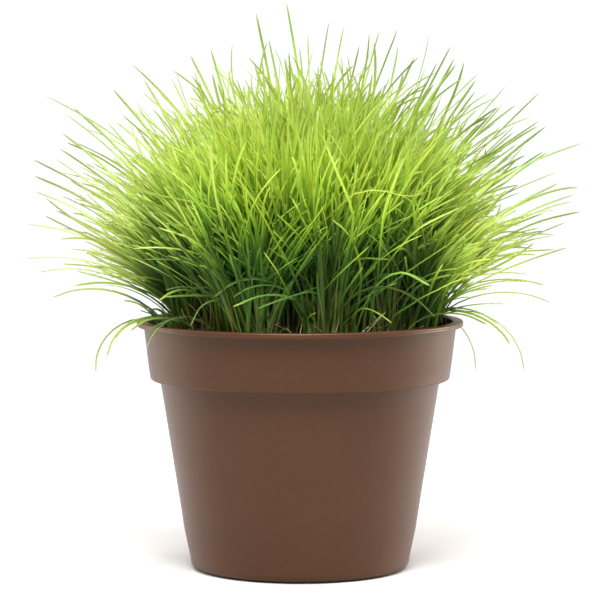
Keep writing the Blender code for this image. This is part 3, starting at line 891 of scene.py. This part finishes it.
def from_lip(point):
    """Distance of a point from the middle of the lip."""
    return math.hypot(point[0], point[1], point[2] - POT_HEIGHT)


def lean_of(point):
    """The angle from upright of the line from the lip's middle to a point."""
    return math.atan2(math.hypot(point[0], point[1]), point[2] - POT_HEIGHT)


def outline(tip):
    """How far the grass reaches from the lip's middle towards a blade's tip.

    It reaches less far to a side where a blade lies flat, less far to the front and back than to
    the sides, a little further on the right, and dips at the left of the top.
    """
    lean = lean_of(tip)
    flat = min(1, max(0, (lean - WIDE_LEAN) / (math.pi / 2 - WIDE_LEAN)))
    wide = REACH + flat * (FLAT_REACH - REACH)
    deep = 1 / math.hypot(math.sin(lean) / DEPTH, math.cos(lean) / REACH)
    reach = wide + (deep - wide) * tip[1] ** 2 / (tip[0] ** 2 + tip[1] ** 2)
    bearing = math.atan2(tip[0], tip[2] - POT_HEIGHT)
    dip = DIP * math.exp(-((bearing - DIP_BEARING) / DIP_WIDTH) ** 2)
    return reach * (1 + SLANT * tip[0] / from_lip(tip) - dip)


def wanted_reach(tip, dice):
    """How far from the lip's middle a blade's tip stands."""
    draw = dice.random()
    share = outline(tip) / REACH
    if draw < SHORT_SHARE:
        return dice.uniform(*SHORT_REACH)
    if draw > 1 - LONG_SHARE:
        return dice.uniform(*LONG_REACH) * share
    return dice.normal(REACH, REACH_SPREAD) * share


def turned_up(line, share):
    """A line of the same reach that leans less far to the front or back."""
    way = (line - line[0]) * (1, share, 1)
    return line[0] + way * np.linalg.norm(line[-1] - line[0]) / np.linalg.norm(way[-1])


def follow(line, box, dice):
    """A fine blade that grows beside the middle line of a leaf of the model."""
    shares = blade_shares(BLADE_STEPS)
    along = shares[:, None]
    for attempt in range(TRIES):
        calm = 1 - attempt / TRIES
        steep = turned_up(line, dice.uniform(*STEEP))
        scale = min(MOST_STRETCH, wanted_reach(steep[-1], dice) / from_lip(steep[-1]))
        path = line_at(steep, shares * min(1, scale))
        path = path[0] + (path - path[0]) * max(1, scale)
        length = np.linalg.norm(np.diff(path, axis=0), axis=1).sum()
        turn = dice.uniform(0, math.tau)
        shift = ROOT_SPREAD * math.sqrt(dice.random()) * calm
        root_shift = np.array([math.cos(turn), math.sin(turn), 0]) * shift
        loose = WILD_SPREAD if dice.random() < WILD_SHARE else TIP_SPREAD
        tip_shift = dice.normal(size=3) * loose * length * calm
        tip_shift[2] = -abs(tip_shift[2]) * TIP_SAG
        sway = dice.normal(size=3) * SWAY * length * calm
        path = path + root_shift * (1 - along) + tip_shift * along ** TIP_BEND
        path = path + sway * 4 * along * (1 - along) * along
        path[:, 2] -= dice.uniform(0, DROOP) * length * shares ** 3
        path = plant(path)
        if fits(path, box):
            return path
    return plant(line_at(line, shares / 2))


def direction(heading, rise):
    """A direction by its heading and its rise above the level."""
    level = math.cos(rise)
    return np.array([math.cos(heading) * level, math.sin(heading) * level, math.sin(rise)])


def stray(line, box, dice):
    """A thin blade that leans along the side of the clump and crosses the blades around it."""
    shares = blade_shares(BLADE_STEPS)[:, None]
    foot = line[0]
    for _ in range(TRIES):
        turn = math.radians(dice.uniform(*STRAY_TURN)) * dice.choice((-1, 1))
        heading = math.atan2(foot[1], foot[0]) + turn
        way = direction(heading, math.pi / 2 - math.radians(dice.uniform(*STRAY_LEAN)))
        length = dice.uniform(*STRAY_LENGTH)
        tip = foot + way * length
        tip = foot + way * length * min(1, outline(tip) * dice.uniform(*STRAY_SHARE) / from_lip(tip))
        above = foot + (0, 0, tip[2] - foot[2])
        rise = dice.uniform(*STRAY_RISE)
        top = (foot + tip) / 2 * (1 - rise) + above * rise
        path = plant(foot * (1 - shares) ** 2 + top * 2 * shares * (1 - shares) + tip * shares ** 2)
        if fits(path, box):
            return path
    return None


def ribbon(paths, widths, dice, roll):
    """Vertices, faces and blade coordinates of creased blades along paths."""
    paths = np.array(paths)
    count, rows = paths.shape[:2]
    marks = blade_shares(rows - 1)
    shares = marks[None, :, None]
    along = np.gradient(paths, axis=1)
    along /= np.linalg.norm(along, axis=2, keepdims=True)
    outward = paths[:, -1] - paths[:, 0]
    side = np.stack([-outward[:, 1], outward[:, 0], np.zeros(count)], axis=1)
    side += dice.normal(0, SIDE_JITTER, side.shape)
    side = np.repeat(side[:, None], rows, axis=1)
    side -= along * (side * along).sum(axis=2, keepdims=True)
    side /= np.linalg.norm(side, axis=2, keepdims=True)
    front = np.cross(side, along)
    turn = dice.normal(0, roll, (count, 1, 1)) + dice.normal(0, TWIST, (count, 1, 1)) * shares
    across = side * np.cos(turn) + front * np.sin(turn)
    facing = np.cross(across, along)
    taper = ROOT_SHARE + (1 - ROOT_SHARE) * np.minimum(1, shares / FOOT_TAPER)
    taper = taper * (1 - NARROWING * shares) * (1 - shares ** TIP_LATE) ** TIP_BLUNT
    half = np.asarray(widths)[:, None, None] / 2 * taper
    crease = facing * half * 2 * CREASE
    points = np.stack([paths - across * half, paths - crease, paths + across * half], axis=2)[:, :-1]
    points = points.reshape(count, -1, 3)
    tips = paths[:, -1:, :]
    points = np.concatenate([points, tips], axis=1)
    faces = []
    for row in range(rows - 2):
        low = 3 * row
        faces += [(low, low + 1, low + 4, low + 3), (low + 1, low + 2, low + 5, low + 4)]
    last = 3 * (rows - 2)
    faces += [(last, last + 1, last + 3), (last + 1, last + 2, last + 3)]
    blade = [((corner % 3) / 2, marks[corner // 3]) for corner in range(3 * (rows - 1))] + [(0.5, 1)]
    return points, faces, np.array(blade)


def blades_mesh(name, paths, widths, shades, material, dice, roll=ROLL):
    """Many blades joined into one piece. Each has its own place on a map laid out for baking its looks."""
    points, faces, blade = ribbon(paths, widths, dice, roll)
    count, size = points.shape[:2]
    every = [tuple(corner + index * size for corner in face) for index in range(count) for face in faces]
    item = new_mesh(name, points.reshape(-1, 3), every, material)
    mesh = item.data
    corners = np.empty(len(mesh.loops), dtype=int)
    mesh.loops.foreach_get("vertex_index", corners)
    owner = corners // size
    place = blade[corners % size]
    columns = math.ceil(math.sqrt(BAKE_CELL * count))
    rows = math.ceil(count / columns)
    inset = BAKE_MARGIN + (1 - 2 * BAKE_MARGIN) * place[:, 0]
    rise = BAKE_END + (1 - 2 * BAKE_END) * place[:, 1]
    layout = np.stack([(owner % columns + inset) / columns, (owner // columns + rise) / rows], axis=1)
    tint = np.stack([dice.random(count), shades], axis=1)[owner]
    for layer, values in (("OFBake", layout), ("blade", place), ("tint", tint)):
        mesh.uv_layers.new(name=layer).data.foreach_set("uv", values.reshape(-1))
    return item


def follower_count(line):
    """How many fine blades grow beside a leaf: few where it hangs, arches or reaches out low."""
    turn = Vector(line[1] - line[0]).angle(Vector(line[-1] - line[-2]))
    return LOW_FOLLOWERS if lean_of(line[-1]) > LOW_LEAN or turn > LOW_TURN else FOLLOWERS


def tuft_blades(node, box, dice):
    """The blades of one tuft: each of the solid's leaves, and the fine blades that grow beside it."""
    shares = blade_shares(BLADE_STEPS)
    blades = []
    for line in leaf_lines(node):
        count = follower_count(line)
        width = LEADER_WIDTH if count == FOLLOWERS else LONE_WIDTH
        blades.append((plant(line_at(line, shares)), width, dice.uniform(0, FRESH)))
        for _ in range(count):
            blades.append((follow(line, box, dice), dice.uniform(*BLADE_WIDTH), dice.uniform(0, FRESH)))
        for _ in range(STRAYS if count == FOLLOWERS else 0):
            path = stray(line, box, dice)
            if path is not None:
                blades.append((path, dice.uniform(*STRAY_WIDTH), dice.uniform(*STRAY_SHADE)))
    return blades


def make_grass(nodes, model_box, material, dice):
    """The grass, in clumps of neighbouring tufts."""
    tufts = sorted((name for name in nodes if name.startswith("grass_tuft")), key=azimuth)
    box = (np.array(model_box[0]) - BOX_MARGIN, np.array(model_box[1]) + BOX_MARGIN)
    pieces = []
    for index in range(CLUMPS):
        names = tufts[index * len(tufts) // CLUMPS:(index + 1) * len(tufts) // CLUMPS]
        blades = [blade for name in names for blade in tuft_blades(nodes[name], box, dice)]
        paths, widths, shades = zip(*blades)
        piece = blades_mesh(f"grass_clump_{index + 1:02d}", paths, widths, shades, material, dice)
        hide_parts(*names)
        pieces.append(piece)
    return pieces


def make_front_blades(material, dice):
    """The blades that sweep across the front of the plant."""
    shares = blade_shares(BLADE_STEPS)
    widths, shades, lines = zip(*FRONT_BLADES)
    paths = [line_at(np.array(line) * MM, shares) for line in lines]
    return blades_mesh("front_blades", paths, np.array(widths) * MM, shades, material, dice, FRONT_ROLL)


def azimuth(name):
    """The direction of a tuft from the pot's axis."""
    low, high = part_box(name)
    middle = (low + high) / 2
    return math.atan2(middle.y, middle.x)


def make_thatch(material, dice):
    """Dry leaves and stubs on the potting mix, between the tufts."""
    paths = []
    widths = []
    shares = blade_shares(THATCH_STEPS)[:, None]
    while len(paths) < THATCH_COUNT:
        reach = (COLLAR_TOP_RADIUS - THATCH_EDGE) * math.sqrt(dice.random())
        turn = dice.uniform(0, math.tau)
        foot = np.array([reach * math.cos(turn), reach * math.sin(turn), soil_height(reach) + THATCH_LIFT])
        length = dice.uniform(*THATCH_LENGTH)
        heading = dice.uniform(0, math.tau)
        rise = THATCH_FLAT
        if dice.random() < THATCH_UP_SHARE:
            rise = abs(dice.normal(0, THATCH_UP))
        bend = dice.normal(size=3) * THATCH_BEND * length
        path = foot + direction(heading, rise) * length * shares + bend * shares ** 2
        path[:, 2] = np.maximum(path[:, 2], soil_height(np.hypot(path[:, 0], path[:, 1])) + THATCH_LIFT)
        if clears_pot(path):
            paths.append(path)
            widths.append(dice.uniform(*THATCH_WIDTH))
    return blades_mesh("dry_leaves", paths, widths, dice.random(len(paths)), material, dice, THATCH_ROLL)


def make_floor():
    """The plain pale floor."""
    corners = [(x * FLOOR_HALF, y * FLOOR_HALF, 0) for x, y in ((-1, -1), (1, -1), (1, 1), (-1, 1))]
    floor = new_mesh("floor", corners, [(0, 1, 2, 3)], floor_material())


def add_light(name, place, target, size, power, colour):
    """A soft square light that faces a point."""
    light = bpy.data.lights.new(name, "AREA")
    light.size = size
    light.energy = power
    light.color = colour
    item = bpy.data.objects.new(name, light)
    item.location = place
    item.rotation_euler = (Vector(target) - Vector(place)).to_track_quat("-Z", "Y").to_euler()
    bpy.context.scene.collection.objects.link(item)


def light_studio():
    """A white surround and soft lights: a large one above, one in front and a warm one at each side."""
    world = bpy.data.worlds.new("studio")
    world.use_nodes = True
    tree = world.node_tree
    way = add_node(tree, "ShaderNodeSeparateXYZ", {
        "Vector": add_node(tree, "ShaderNodeTexCoord").outputs["Generated"]})
    level = spread(tree, way.outputs["Y"], *FRONT_TO_BACK, FRONT_GLOW, BACK_GLOW)
    above = spread(tree, way.outputs["Z"], *SIDE_TO_TOP, 0, 1)
    glow = add_node(tree, "ShaderNodeMix", {"Factor": above, "A": level, "B": TOP_GLOW}, data_type="FLOAT")
    seen = add_node(tree, "ShaderNodeLightPath").outputs["Is Camera Ray"]
    strength = add_node(tree, "ShaderNodeMix", {
        "Factor": seen, "A": glow.outputs["Result"], "B": SEEN_GLOW}, data_type="FLOAT")
    tree.links.new(strength.outputs["Result"], tree.nodes["Background"].inputs["Strength"])
    tree.nodes["Background"].inputs["Color"].default_value = (1, 1, 1, 1)
    bpy.context.scene.world = world
    for light in LIGHTS:
        add_light(*light)
    bpy.context.scene.view_settings.view_transform = "Standard"


def make_camera():
    """The camera, at the photograph's viewing angle."""
    camera = bpy.data.cameras.new("camera")
    camera.lens = CAMERA_LENS
    camera.sensor_width = CAMERA_SENSOR
    item = bpy.data.objects.new("camera", camera)
    item.location = CAMERA_PLACE
    item.rotation_euler = (math.radians(90 - CAMERA_PITCH), 0, 0)
    bpy.context.scene.collection.objects.link(item)
    bpy.context.scene.camera = item


def settle(item, *nodes, slot):
    """A piece takes the place of its nodes on the root body. Its slot is not used."""
    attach(item, "root")
    if nodes:
        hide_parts(*nodes)


def build():
    """Dresses the model and sets the stage."""
    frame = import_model()
    model_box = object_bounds()
    dice = np.random.default_rng(SEED)
    make_camera()
    light_studio()
    make_floor()
    settle(make_pot(plastic_material()), "pot", slot="pot")
    settle(make_soil(soil_material()), "potting_mix", slot="potting_mix")
    settle(make_chips(bark_material(), dice), slot="potting_mix")
    settle(make_thatch(straw_material(), dice), slot="grass")
    grass = grass_material()
    for piece in make_grass(frame["nodes"], model_box, grass, dice):
        settle(piece, slot="grass")
    settle(make_front_blades(grass, dice), slot="grass")


build()
